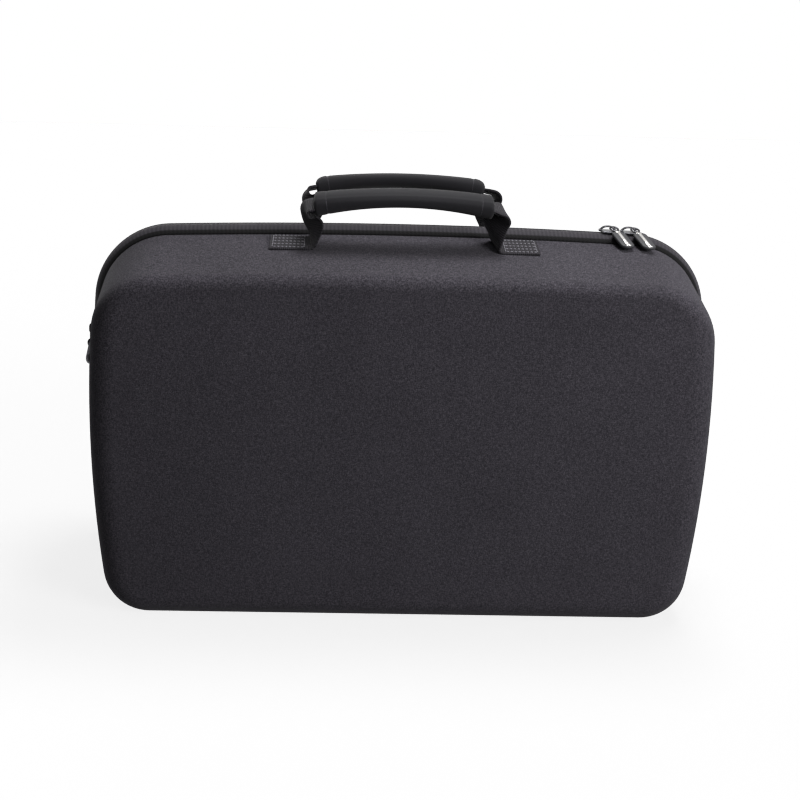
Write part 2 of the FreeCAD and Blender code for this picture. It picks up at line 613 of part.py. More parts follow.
def make_console_strap(label, way):
    panel = "dims.half_depth - dims.wall"
    strap = primitive("Box", f"{label}_band", Length="dims.console_strap_width", Width="dims.webbing_thickness",
                      Height="dims.console_strap_length",
                      Placement__Base__x=f"{way} * dims.strap_x - dims.console_strap_width / 2",
                      Placement__Base__y=f"{panel} - dims.webbing_thickness",
                      Placement__Base__z="dims.console_strap_foot")
    lap = primitive("Box", f"{label}_lap", Length="dims.console_strap_width", Width="dims.webbing_thickness",
                    Height="dims.overlap_length",
                    Placement__Base__x=f"{way} * dims.strap_x - dims.console_strap_width / 2",
                    Placement__Base__y=f"{panel} - 2 * dims.webbing_thickness",
                    Placement__Base__z="dims.console_strap_foot + (dims.console_strap_length - dims.overlap_length) / 2")
    joined = doc.addObject("Part::Fuse", label)
    joined.Base, joined.Tool, joined.Refine = strap, lap, True
    return joined


def make_pocket():
    body = doc.addObject("PartDesign::Body", "mesh_pocket")
    wide, slope, cloth = "dims.pocket_width / 2", "dims.pocket_slope", "dims.pocket_cloth"
    half, lean, skin = size("pocket_width") / 2, size("pocket_slope"), size("pocket_cloth")
    foot, tall, depth = size("pocket_foot"), size("pocket_height"), size("pocket_depth")
    low, high = (foot, "dims.pocket_foot"), (foot + tall, "dims.pocket_foot + dims.pocket_height")
    wall = "-(dims.half_depth - dims.wall)"
    out = f"{wall} + dims.pocket_depth"
    raised = (foot + lean, "dims.pocket_foot + dims.pocket_slope")
    back = rectangle(body, "pocket_back", wall, low, high, (half, wide), (half, wide))
    narrow = (half - lean, f"{wide} - {slope}")
    face = rectangle(body, "pocket_face", out, raised, high, narrow, narrow)
    block = body.newObject("PartDesign::AdditiveLoft", "pocket_block")
    block.Profile, block.Sections, block.Ruled = back, [face], True
    doc.recompute()
    inner_low = (foot + skin, "dims.pocket_foot + dims.pocket_cloth")
    inner_half = (half - skin, f"{wide} - {cloth}")
    hollow_back = rectangle(body, "pocket_hollow_back", wall, inner_low, high, inner_half, inner_half)
    inner_raised = (foot + lean + skin, f"{raised[1]} + {cloth}")
    inner_narrow = (half - lean - skin, f"{wide} - {slope} - {cloth}")
    hollow_face = rectangle(body, "pocket_hollow_face", f"{out} - {cloth}", inner_raised, high,
                            inner_narrow, inner_narrow)
    hollow = body.newObject("PartDesign::SubtractiveLoft", "pocket_hollow")
    hollow.Profile, hollow.Sections, hollow.Ruled = hollow_back, [hollow_face], True
    doc.recompute()
    hem = primitive("Box", "pocket_binding", Length=f"2 * ({narrow[1]})", Width="dims.pocket_hem_thickness",
                    Height="dims.pocket_hem", Placement__Base__x=f"-({narrow[1]})",
                    Placement__Base__y=f"{out} - dims.pocket_cloth / 2 - dims.pocket_hem_thickness / 2",
                    Placement__Base__z=high[1])
    return [body, hem]


rear_shell = make_shell("rear_shell", REAR)
front_shell = make_shell("front_shell", FRONT)
pieces = [rear_shell, front_shell, make_hinge_spine()]
for half_name, half_side, half_shell in (("front", FRONT, front_shell), ("rear", REAR, rear_shell)):
    zip_half = make_zip_half(half_name, half_side)
    pieces += zip_half
    pieces += make_bindings(half_name, half_side)
    pieces += make_handle(half_name, half_side, half_shell)
pieces += make_ring(rear_shell, zip_half[0])
for slider_name, slider_place in slider_places().items():
    pieces.append(make_slider(f"{slider_name}_slider", slider_place))
    eye_place = pull_place(slider_place, size(f"{slider_name}_pull_turn"))
    pieces += make_pull(slider_name, eye_place)
pieces += [make_console_strap("left_console_strap", -1), make_console_strap("right_console_strap", 1)]
pieces += make_pocket()

doc.recompute()
for item in doc.Objects:
    if "Invalid" in item.State or "Error" in item.State:
        raise RuntimeError(f"{item.Label} did not rebuild: {item.State}")
os.makedirs("parts", exist_ok=True)
for piece in pieces:
    if piece.Shape.isNull() or not piece.Shape.isValid():
        raise RuntimeError(f"{piece.Label} has no valid shape")
    piece.Shape.exportStep(f"parts/{piece.Label}.step")
    box = piece.Shape.BoundBox
    print(f"{piece.Label}: {len(piece.Shape.Solids)} solid, {piece.Shape.Volume:.0f} mm3,",
          f"x {box.XMin:.1f} {box.XMax:.1f} y {box.YMin:.1f} {box.YMax:.1f} z {box.ZMin:.1f} {box.ZMax:.1f}")
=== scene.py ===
import json
from math import acos, asin, atan2, cos, hypot, pi, radians, sin, sqrt, tan

import bmesh
import bpy
from mathutils import Matrix, Quaternion, Vector


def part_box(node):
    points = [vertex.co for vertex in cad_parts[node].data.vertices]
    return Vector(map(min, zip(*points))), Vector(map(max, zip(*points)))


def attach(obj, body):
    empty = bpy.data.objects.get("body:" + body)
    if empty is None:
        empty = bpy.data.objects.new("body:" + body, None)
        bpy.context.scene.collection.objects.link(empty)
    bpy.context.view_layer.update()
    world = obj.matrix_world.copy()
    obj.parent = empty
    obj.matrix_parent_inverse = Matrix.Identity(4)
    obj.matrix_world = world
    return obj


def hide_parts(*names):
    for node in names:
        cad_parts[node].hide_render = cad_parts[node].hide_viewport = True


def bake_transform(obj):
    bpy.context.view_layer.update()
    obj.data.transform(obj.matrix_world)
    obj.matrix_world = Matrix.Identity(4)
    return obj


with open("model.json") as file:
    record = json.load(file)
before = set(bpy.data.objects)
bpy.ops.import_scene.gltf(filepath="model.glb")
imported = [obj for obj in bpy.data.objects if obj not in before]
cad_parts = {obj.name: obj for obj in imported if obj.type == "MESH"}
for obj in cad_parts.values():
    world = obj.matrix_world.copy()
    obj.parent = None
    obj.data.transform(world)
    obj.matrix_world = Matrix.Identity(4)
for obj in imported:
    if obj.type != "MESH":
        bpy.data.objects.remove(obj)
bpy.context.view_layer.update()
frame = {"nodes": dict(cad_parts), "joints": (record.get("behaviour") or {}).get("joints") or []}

# A zipped hard case for a console: cloth, zip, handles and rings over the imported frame.
# Pieces are modelled in millimetres and brought to metres when they are finished.

MM = 0.001
FRONT, REAR = -1, 1
BODY = {FRONT: "lid", REAR: "base"}
NAME = {FRONT: "front", REAR: "rear"}

# Sizes of the shells and the zip, as in the part's source
CASE_WIDTH, CASE_HEIGHT, HALF_DEPTH = 460, 278, 89
CORNER, FOOT, TOP_BOW, SIDE_BOW = 54, 40, 4500, 980
DRAFT, EDGE, WALL = 7.5, 19, 5
TOP_DRAFT, TOP_EDGE = radians(12.6), 10
SEAM, RIM_DROP, RIM_GAP = 11.5, 2.5, 0.5
ZIP_GAP, TAPE_RISE, TAPE_THICK, ZIP_END = 0.7, 6, 1.4, 82

# Sewing: the tape's ribs and the width of painted shade along its sewn edge, slack at cut edges, stitches
RIB_PITCH, RIB_RISE, SEAM_SHADE_WIDTH, SLACK = 3.0, 0.02, 2.1, 0.3
STITCH_PITCH, STITCH_HALF, STITCH_RISE = 2.8, 0.42, 0.12
PATCH_APART, PATCH_INSET, PATCH_THREAD = 5.1, 2, 0.9
HEM_STITCHES, HEM_STITCH_PART, HEM_PITCH = 36, (0.004, 0.022), 3

# Handles: the path is the part's; twist, lean and slip are of this scene
WEB_WIDE, WEB_THICK = 25, 2
PATCH_END, PATCH_LONG, PATCH_SLIP = 98, 27, 4.5
FOOT_BEND, RISER_TURN, SHOULDER_BEND = 3, radians(110), 6
RISER, ARCH_SLOPE = {FRONT: 16.75, REAR: 20.5}, radians(12)
RISER_TWIST, RISER_LEAN = radians(38), {-1: 5, 1: 7}
STRAP_FOLD, FOLD_START, FOLD_RUN = 0.25, 3, 4
SLEEVE_HALF, SLEEVE_WIDE, SLEEVE_THICK, HEM = 65, 28, 8.6, 9.5
SLEEVE_SLIP, SLEEVE_CORNER, CORNER_FALL = -1.6, {FRONT: 3.5, REAR: 8}, 0.75
SLEEVE_NARROW, SLEEVE_FULL, SLEEVE_BLUNT = 0.84, 1.28, 2 / 2.5
SLEEVE_WAIST, SLEEVE_SWELL = 0.97, 0.42
HEM_NIP, HEM_RUN, END_TUCK, TUCK_RUN = 0.1, 1.3, 0.2, 1.8
RIDGE, RIDGE_TURN, RIDGE_RUN = 0.55, 0.72, 0.14

# Sliders and pulls: places as in the part's source, with lower crowns and fuller grips
SLIDER_X = {"left": 155, "right": 171}
SLIDER_LONG, SLIDER_WIDE, PLATE, PLATE_LIFT = 10, 10, 1.5, 0.3
UNDER_LOW, UNDER_HIGH = -0.2, 1.2
DIVIDER_X, DIVIDER_Y, DIVIDER_SINK = 2, 0.4, 0.6
LUG_X, LUG_Y, LUG_SINK, LUG_RISE = 1.2, 1.3, 0.6, 0.9
CROWN, CROWN_WIRE, CROWN_SINK, CROWN_TALL = 5.5, 0.8, 0.3, 0.66
EYE_TURN, EYE, EYE_WIRE = 28, 3.1, 0.6
PULL_TURN, PULL_TILT = 76, 19.3
GRIP_START, GRIP_LONG, GRIP_WIDE, GRIP_THICK = 5.2, 23, 11, 2.6
GRIP_BLUNT, GRIP_ROUND = 0.75, 1.0
INLAY_NEAR, INLAY_FAR, INLAY_RISE, INLAY_DEEP, INLAY_Y = 3.0, 3.6, 0.35, 1.1, 1.2
SHANK_Y, PRONG_LONG, PRONG_Y, PRONG_LEAN = 1.0, 2.8, 0.8, radians(32)

# Rings and their tabs
RING_WIRE, RING_INNER, RING_LONG, RING_CORNER = 3.2, 26, 17, 7
RING_HANG = radians(12)
TAB_HEIGHT, TAB_LEAN, TAB_LOOP, TAB_TALL = 184, 16, 4, 14.5
FOLD_INSET, FOLD_TALL, FOLD_PROUD = 3, 8, 1.1

# Inside
LAP_HALF, LAP_RISE, STRAP_HALF = 35, 2.02, 1
NET_PITCH, NET_WIRE = 5, 0.9


# Outline of the rim: bowed top and sides, round corners, level bottom

SIDE = (CASE_WIDTH / 2 - SIDE_BOW, CASE_HEIGHT / 2)


def rim_arcs(level):
    """Centres (x, z) of the top and shoulder arcs under a top level, and the angles where the arcs meet."""
    top = (0, level - TOP_BOW)
    gap = hypot(SIDE[0] - top[0], SIDE[1] - top[1])
    to_top, to_side = TOP_BOW - CORNER, SIDE_BOW - CORNER
    along = (to_top ** 2 - to_side ** 2 + gap ** 2) / (2 * gap)
    off = sqrt(to_top ** 2 - along ** 2)
    ux, uz = (SIDE[0] - top[0]) / gap, (SIDE[1] - top[1]) / gap
    shoulder = max((top[0] + along * ux + s * off * uz, top[1] + along * uz - s * off * ux) for s in (1, -1))
    side_end = atan2(shoulder[1] - SIDE[1], shoulder[0] - SIDE[0])
    top_start = atan2(shoulder[1] - top[1], shoulder[0] - top[0])
    return top, shoulder, side_end, top_start


TOP, _, SIDE_END, TOP_START = rim_arcs(CASE_HEIGHT)


def foot_arc(bottom, offset):
    """Centre of the lower corner's arc, and the angle where it meets the side."""
    z = bottom + FOOT + offset
    x = SIDE[0] + sqrt((SIDE_BOW - FOOT) ** 2 - (z - SIDE[1]) ** 2)
    return (x, z), atan2(z - SIDE[1], x - SIDE[0])


(FOOT_X, _), FOOT_ANGLE = foot_arc(0, 0)


def side_angle(height):
    return asin((height - SIDE[1]) / SIDE_BOW)


def path_of(start, heading, moves):
    """A flat path of straights and arcs: gives x, z and heading at a distance along it, and its length.

    A move is (length, turn in radians); a turn to the left is positive."""
    legs, (x, z), angle, done = [], start, heading, 0
    for length, turn in moves:
        bend = turn / length
        legs.append((done, x, z, angle, bend))
        if bend:
            x, z = x + (sin(angle + turn) - sin(angle)) / bend, z - (cos(angle + turn) - cos(angle)) / bend
        else:
            x, z = x + length * cos(angle), z + length * sin(angle)
        angle, done = angle + turn, done + length

    def at(distance):
        passed, px, pz, facing, bend = next((leg for leg in legs[::-1] if leg[0] <= distance), legs[0])
        run = distance - passed
        now = facing + bend * run
        if bend:
            return px + (sin(now) - sin(facing)) / bend, pz - (cos(now) - cos(facing)) / bend, now
        return px + run * cos(facing), pz + run * sin(facing), now
    return at, done


def rim_path():
    """The rim from the middle of the bottom, up the left side, over the top and down the right."""
    arcs = [(FOOT, FOOT_ANGLE + pi / 2), (SIDE_BOW, SIDE_END - FOOT_ANGLE), (CORNER, TOP_START - SIDE_END)]
    up = [(FOOT_X, 0)] + [(radius * turn, -turn) for radius, turn in arcs]
    top = 2 * (pi / 2 - TOP_START)
    return path_of((0, 0), pi, up + [(TOP_BOW * top, -top)] + up[::-1])


RIM, RIM_LENGTH = rim_path()
ZIP_HALF = (TOP_BOW * (pi / 2 - TOP_START) + CORNER * (TOP_START - SIDE_END)
            + SIDE_BOW * (SIDE_END - side_angle(ZIP_END)))


def rim_at(distance):
    """The rim at a distance from the middle of the top, to the right."""
    return RIM(distance + RIM_LENGTH / 2)


# Modelling

def verts_in(geom):
    return [item for item in geom if isinstance(item, bmesh.types.BMVert)]


def edges_in(geom):
    return [item for item in geom if isinstance(item, bmesh.types.BMEdge)]


def edges_of(verts):
    return list({edge for vert in verts for edge in vert.link_edges})


def follow(verts, path, lie=None, axis_y=0):
    """Bend straight geometry, x along, y across and z above, round a path.

    Before that, lie gives a twist about the line y = axis_y and a shift across and above,
    at a distance along."""
    for vert in verts:
        along, across, above = vert.co
        if lie:
            turn, aside, lift = lie(along)
            y = across - axis_y
            across = axis_y + aside + y * cos(turn) - above * sin(turn)
            above = lift + y * sin(turn) + above * cos(turn)
        x, z, heading = path(along)
        vert.co = (x - above * sin(heading), across, z + above * cos(heading))


def close_ends(bm):
    bmesh.ops.holes_fill(bm, edges=[e for e in bm.edges if e.is_boundary], sides=0)


def sweep(bm, start, end, step, around, section):
    """A straight closed bar from a rolled-up grid; section gives (across, above) at (share, along)."""
    count = max(1, round((end - start) / step))
    along_layer = bm.verts.layers.float.get("along") or bm.verts.layers.float.new("along")
    across_layer = bm.verts.layers.float.get("across") or bm.verts.layers.float.new("across")
    verts = bmesh.ops.create_grid(bm, x_segments=count, y_segments=around, size=0.5)["verts"]
    for vert in verts:
        along = start + (vert.co.x + 0.5) * (end - start)
        across, above = section((vert.co.y + 0.5) % 1, along)
        vert.co = (along, across, above)
        vert[along_layer], vert[across_layer] = along * MM, across * MM
    bmesh.ops.remove_doubles(bm, verts=verts, dist=1e-4)
    close_ends(bm)
    return [vert for vert in verts if vert.is_valid]


def flat_section(near, far, low, high):
    """A flat band's closed section, its edges thinned to half."""
    middle, half = (near + far) / 2, abs(far - near) / 2
    level, thick = (low + high) / 2, (high - low) / 2

    def section(share, along):
        turn = 2 * pi * share
        across = max(-1, min(1, 1.25 * cos(turn)))
        above = max(-1, min(1, 1.6 * sin(turn) / (0.2 + abs(sin(turn)))))
        soft = 1 - 0.5 * max(0, (abs(across) - 0.85) / 0.15)
        return middle + across * half, level + above * thick * soft
    return section


def add_stitches(bm, start, end, pitch, thread=0.55):
    """A row of short thread stitches between two points, laid on a straight piece."""
    start, end = Vector(start), Vector(end)
    run = end - start
    count = max(1, round(run.length / pitch))
    turn = run.to_track_quat("X", "Z").to_matrix().to_4x4()
    size = Matrix.Diagonal((pitch * STITCH_HALF, thread / 2, thread / 2, 1))
    for number in range(count):
        place = Matrix.Translation(start + run * ((number + 0.5) / count))
        bmesh.ops.create_icosphere(bm, subdivisions=1, radius=1, matrix=place @ turn @ size)


def rounded_box(bm, low, high, radius, segments=3):
    """A block with all its edges rounded."""
    low, high = Vector(low), Vector(high)
    place = Matrix.Translation((low + high) / 2) @ Matrix.Diagonal((*(high - low), 1))
    verts = bmesh.ops.create_cube(bm, size=1, matrix=place)["verts"]
    bmesh.ops.bevel(bm, geom=edges_of(verts), offset=radius, segments=segments, profile=0.5, affect="EDGES",
                    material=-1, offset_type="OFFSET")


def wire_ring(bm, wire, spot, segments):
    """A circle round a wire at a spot, to spin or draw out."""
    place = Matrix.Translation(spot)
    verts = bmesh.ops.create_circle(bm, segments=segments, radius=wire, matrix=place)["verts"]
    return verts + edges_of(verts)


def wire_loop(bm, radius, wire, turn, steps, segments=12):
    """Round wire spun about the Y axis, from +X up and over."""
    ring = wire_ring(bm, wire, (radius, 0, 0), segments)
    bmesh.ops.spin(bm, geom=ring, cent=(0, 0, 0), axis=(0, -1, 0), angle=turn, steps=steps,
                   use_merge=turn >= 2 * pi)


def cross_bar(bm, radius, length, segments):
    """A round bar along Y, centred."""
    bmesh.ops.create_cone(bm, cap_ends=True, segments=segments, radius1=radius, radius2=radius, depth=length,
                          matrix=Matrix.Rotation(pi / 2, 4, "X"))


def make_piece(bm, name, finishes, body, stands_for=(), sharp=50):
    """Close a mesh off as a named piece that rides on a body."""
    bmesh.ops.remove_doubles(bm, verts=bm.verts[:], dist=0.002)
    bmesh.ops.recalc_face_normals(bm, faces=bm.faces[:])
    bmesh.ops.scale(bm, vec=(MM, MM, MM), verts=bm.verts[:])
    mesh = bpy.data.meshes.new(name)
    bm.to_mesh(mesh)
    bm.free()
    mesh.shade_smooth()
    mesh.set_sharp_from_angle(angle=radians(sharp))
    piece = bpy.data.objects.new(name, mesh)
    bpy.context.scene.collection.objects.link(piece)
    for finish in finishes:
        mesh.materials.append(finish)
    if body:
        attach(piece, body)
    if stands_for:
        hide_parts(*stands_for)
    return piece


# Finishes

def colour(code):
    """A hex sRGB colour as linear RGBA."""
    parts = [int(code[at:at + 2], 16) / 255 for at in (1, 3, 5)]
    return [c / 12.92 if c <= 0.04045 else ((c + 0.055) / 1.055) ** 2.4 for c in parts] + [1]


def set_inputs(tree, node, inputs):
    """Fill a node's inputs; each is a value, or another node's output to link."""
    for name, value in inputs.items():
        if isinstance(value, bpy.types.NodeSocket):
            tree.links.new(value, node.inputs[name])
        else:
            node.inputs[name].default_value = value


def add_node(tree, kind, inputs=None, **settings):
    """Add a node with its settings and inputs."""
    node = tree.nodes.new(f"ShaderNode{kind}")
    for name, value in settings.items():
        setattr(node, name, value)
    set_inputs(tree, node, inputs or {})
    return node


def per_metre(millimetres):
    """Texture scale for features of a real size."""
    return 1000 / millimetres


def new_finish(name):
    material = bpy.data.materials.new(name)
    material.use_nodes = True
    return material, material.node_tree, material.node_tree.nodes["Principled BSDF"]


def add_ramp(tree, value, stops):
    """A colour ramp over a value, with stops of (position, hex)."""
    node = add_node(tree, "ValToRGB", {"Fac": value})
    ramp = node.color_ramp
    while len(ramp.elements) < len(stops):
        ramp.elements.new(0.5)
    for element, (position, code) in zip(ramp.elements, stops):
        element.position, element.color = position, colour(code)
    return node.outputs[0]


def multiply(tree, tint, share):
    """A colour darkened or lightened by a share."""
    inputs = {0: 1, 6: tint, 7: share}
    return add_node(tree, "Mix", inputs, data_type="RGBA", blend_type="MULTIPLY").outputs[2]


def melange_cloth(name, dark, middle, light):
    """Woven melange polyester glued to moulded foam: dull, with short pale slubs across and along."""
    material, tree, shader = new_finish(name)
    place = add_node(tree, "TexCoord").outputs["Object"]
    # Yarns are about 0.4 mm; slubs are drawn 0.8 mm wide, as fine as the render can show
    fields = []
    for stretch in ((0.35, 0.55, 1), (1, 0.55, 0.35)):
        turned = add_node(tree, "Mapping", {"Vector": place, "Scale": stretch})
        slubs = add_node(tree, "TexNoise", {"Vector": turned.outputs[0], "Scale": per_metre(0.8),
                                            "Detail": 2, "Roughness": 0.6})
        fields.append(slubs.outputs["Fac"])
    woven = add_node(tree, "Mix", {0: 0.5, 2: fields[0], 3: fields[1]}, data_type="FLOAT")
    deep = add_node(tree, "Mapping", {"Vector": place, "Scale": (1, 0.6, 1)})
    grain = add_node(tree, "TexNoise", {"Vector": deep.outputs[0], "Scale": per_metre(0.6), "Detail": 1})
    mixed = add_node(tree, "Mix", {0: 0.45, 2: woven.outputs[0], 3: grain.outputs["Fac"]}, data_type="FLOAT")
    ramp = add_ramp(tree, mixed.outputs[0], [(0.38, dark), (0.5, middle), (0.62, light)])
    wear = add_node(tree, "TexNoise", {"Vector": place, "Scale": per_metre(60), "Detail": 3})
    patchy = add_node(tree, "MapRange", {"Value": wear.outputs["Fac"], "From Min": 0.3, "From Max": 0.7,
                                         "To Min": 0.93, "To Max": 1.07})
    bump = add_node(tree, "Bump", {"Height": mixed.outputs[0], "Strength": 0.3, "Distance": 0.0004})
    wave = add_node(tree, "Bump", {"Height": wear.outputs["Fac"], "Strength": 0.12, "Distance": 0.004,
                                   "Normal": bump.outputs[0]})
    rough = add_node(tree, "MapRange", {"Value": mixed.outputs[0], "To Min": 0.92, "To Max": 0.74})
    set_inputs(tree, shader, {"Base Color": multiply(tree, ramp, patchy.outputs[0]),
                              "Normal": wave.outputs[0], "Roughness": rough.outputs[0],
                              "Specular IOR Level": 0.04, "Sheen Weight": 0.03, "Sheen Roughness": 0.5})
    return material


def woven_band(name, dark, light, along_pitch, across_pitch, strength, shade_from=None):
    """Polyester webbing or tape: ribs across and rows along, read from the piece's own length and width.

    Past the given distance from the middle, in mm, the tape is painted nearly black: painted shade for the
    groove where it is sewn to the shell."""
    material, tree, shader = new_finish(name)
    along = add_node(tree, "Attribute", attribute_name="along").outputs["Fac"]
    across = add_node(tree, "Attribute", attribute_name="across").outputs["Fac"]
    waves = []
    for axis, pitch in ((along, along_pitch), (across, across_pitch)):
        turns = add_node(tree, "Math", {0: axis, 1: 2 * pi * per_metre(pitch)}, operation="MULTIPLY")
        waves.append(add_node(tree, "Math", {0: turns.outputs[0]}, operation="SINE").outputs[0])
    # Neighbouring rows are half a rib out of step, as in a plain weave
    weave = add_node(tree, "Math", {0: waves[0], 1: waves[1]}, operation="MULTIPLY")
    rows = add_node(tree, "Math", {0: weave.outputs[0], 1: 0.6, 2: waves[0]}, operation="MULTIPLY_ADD")
    place = add_node(tree, "TexCoord").outputs["Object"]
    fuzz = add_node(tree, "TexNoise", {"Vector": place, "Scale": per_metre(0.6), "Detail": 2})
    height = add_node(tree, "Math", {0: fuzz.outputs["Fac"], 1: 1.2, 2: rows.outputs[0]},
                      operation="MULTIPLY_ADD")
    tone = add_node(tree, "MapRange", {"Value": height.outputs[0], "From Min": -1.2, "From Max": 2.2})
    tint = add_ramp(tree, tone.outputs[0], [(0.1, dark), (0.9, light)])
    # Painted shade: near its sewn edge the tape's colour is darkened to nearly black, standing in for the
    # shaded groove
    if shade_from:
        far = add_node(tree, "Math", {0: across}, operation="ABSOLUTE")
        seam_shade = add_node(tree, "MapRange", {"Value": far.outputs[0], "From Min": (shade_from - 0.8) * MM,
                                           "From Max": shade_from * MM, "To Min": 1, "To Max": 0.06})
        tint = multiply(tree, tint, seam_shade.outputs[0])
    bump = add_node(tree, "Bump", {"Height": height.outputs[0], "Strength": strength, "Distance": 0.0003})
    set_inputs(tree, shader, {"Base Color": tint, "Normal": bump.outputs[0], "Roughness": 0.72,
                              "Specular IOR Level": 0.08, "Sheen Weight": 0.03})
    return material


def plain_cloth(name, dark, light, grain, rough, sheen):
    """Close-knit cloth, thread or nylon: smooth, with a very fine grain."""
    material, tree, shader = new_finish(name)
    place = add_node(tree, "TexCoord").outputs["Object"]
    knit = add_node(tree, "TexNoise", {"Vector": place, "Scale": per_metre(grain), "Detail": 3,
                                       "Roughness": 0.65})
    ramp = add_ramp(tree, knit.outputs["Fac"], [(0.35, dark), (0.65, light)])
    folds = add_node(tree, "TexNoise", {"Vector": place, "Scale": per_metre(14), "Detail": 2})
    soft = add_node(tree, "Bump", {"Height": folds.outputs["Fac"], "Strength": 0.1, "Distance": 0.002})
    bump = add_node(tree, "Bump", {"Height": knit.outputs["Fac"], "Strength": 0.2, "Distance": 0.0002,
                                   "Normal": soft.outputs[0]})
    set_inputs(tree, shader, {"Base Color": ramp, "Normal": bump.outputs[0], "Roughness": rough,
                              "Specular IOR Level": 0.1, "Sheen Weight": sheen})
    return material


def moulded_rubber():
    """Soft PVC moulded over the pull's metal: satin, with a fine spark texture."""
    material, tree, shader = new_finish("moulded_rubber")
    place = add_node(tree, "TexCoord").outputs["Object"]
    spark = add_node(tree, "TexNoise", {"Vector": place, "Scale": per_metre(0.35), "Detail": 2})
    ramp = add_ramp(tree, spark.outputs["Fac"], [(0.3, "#1d1d1f"), (0.7, "#2b2b2e")])
    bump = add_node(tree, "Bump", {"Height": spark.outputs["Fac"], "Strength": 0.25, "Distance": 0.0001})
    set_inputs(tree, shader, {"Base Color": ramp, "Normal": bump.outputs[0], "Roughness": 0.5,
                              "Specular IOR Level": 0.2})
    return material


def plated_metal(name, dark, light, rough):
    """Die-cast zinc or steel wire with nickel plating, faintly hazed by handling."""
    material, tree, shader = new_finish(name)
    place = add_node(tree, "TexCoord").outputs["Object"]
    haze = add_node(tree, "TexNoise", {"Vector": place, "Scale": per_metre(1.5), "Detail": 4})
    ramp = add_ramp(tree, haze.outputs["Fac"], [(0.3, dark), (0.6, light)])
    polish = add_node(tree, "MapRange", {"Value": haze.outputs["Fac"], "To Min": rough * 0.7,
                                         "To Max": rough * 1.5})
    set_inputs(tree, shader, {"Base Color": ramp, "Roughness": polish.outputs[0], "Metallic": 1})
    return material


SHELL_CLOTH = melange_cloth("melange_polyester_laminate", "#1e1d21", "#302e33", "#48454b")
LINING = plain_cloth("brushed_tricot_lining", "#2c2c2f", "#3a3a3e", 0.9, 0.9, 0.3)
# The zip tape carries painted shade, nearly black, along the strip next to its seam
TAPE_CLOTH = woven_band("ribbed_zip_tape", "#232125", "#302e32", RIB_PITCH, 1.3, 0.22, SEAM - SEAM_SHADE_WIDTH)
WEBBING = woven_band("polyester_webbing", "#131215", "#272529", 1.5, 1.5, 0.6)
BINDING_CLOTH = woven_band("grosgrain_binding", "#232225", "#3a383c", 1.1, 2.6, 0.5)
SLEEVE_CLOTH = plain_cloth("knit_over_foam", "#151517", "#1d1c1f", 0.8, 0.85, 0.05)
THREAD = plain_cloth("bonded_thread", "#222124", "#3c3a40", 0.4, 0.55, 0.05)
PALE_THREAD = plain_cloth("pale_bonded_thread", "#5a585e", "#7a787e", 0.4, 0.55, 0.05)
COIL_PLASTIC = plain_cloth("moulded_nylon_coil", "#1b1b1d", "#29292c", 0.6, 0.4, 0)
NET = plain_cloth("nylon_net", "#1c1c1f", "#2c2c30", 0.5, 0.6, 0.05)
RUBBER = moulded_rubber()
GUNMETAL = plated_metal("dark_nickel_plate", "#242426", "#48484b", 0.28)
NICKEL = plated_metal("bright_nickel_plate", "#bdbbb8", "#dddbd8", 0.18)


# Shells: cloth outside, lining inside, one closed skin for each half

def half_rim(bm, depth, offset, bottom, level):
    """The right half of the outline as a chain of edges, from the middle of the bottom to the top."""
    first = len(bm.edges)
    foot, foot_angle = foot_arc(bottom, offset)
    top, shoulder, side_end, top_start = rim_arcs(level - offset)
    tip = bm.verts.new((0, depth, bottom))
    for share in (0.25, 0.5, 0.75, 0.9, 1):
        tip = bmesh.ops.extrude_vert_indiv(bm, verts=[tip])["verts"][0]
        tip.co.x = share * foot[0]
    arcs = ((foot, foot_angle + pi / 2, 12), (SIDE, side_end - foot_angle, 14),
            (shoulder, top_start - side_end, 16), (top, pi / 2 - top_start, 16))
    for (x, z), turn, steps in arcs:
        spun = bmesh.ops.spin(bm, geom=[tip], cent=(x, 0, z), axis=(0, -1, 0), angle=turn, steps=steps)
        tip = verts_in(spun["geom_last"])[0]
    bm.edges.ensure_lookup_table()
    return bm.edges[first:]


def tray_stations(start, skin, turns):
    """(depth, offset, bottom, top level) of a drafted wall and its rounded edge, from rim to face.

    The top wall slopes more than the sides and has a smaller rounding of its own."""
    radius, wall_end = EDGE - skin, HALF_DEPTH - EDGE
    slope, fall = DRAFT / (HALF_DEPTH - start), tan(TOP_DRAFT)
    small = TOP_EDGE - skin
    middle = wall_end + radius - small

    def top_line(depth):
        early = fall * (wall_end - SEAM) / (wall_end - start) * (depth - start)
        return CASE_HEIGHT - skin - (early if depth < wall_end else fall * (depth - SEAM))

    centre = top_line(middle) - small / cos(TOP_DRAFT)

    def top_level(depth):
        if depth <= middle + small * sin(TOP_DRAFT):
            return top_line(depth)
        return centre + sqrt(max(0, small ** 2 - (depth - middle) ** 2))

    found = [(start + share * (wall_end - start), 0) for share in (0, 0.03, 0.25, 0.5, 0.75)]
    found += [(wall_end + radius * sin(radians(turn)), radius * (1 - cos(radians(turn)))) for turn in turns]
    return [(depth, -skin - slope * (depth - start) - drop, skin + drop, top_level(depth))
            for depth, drop in found]


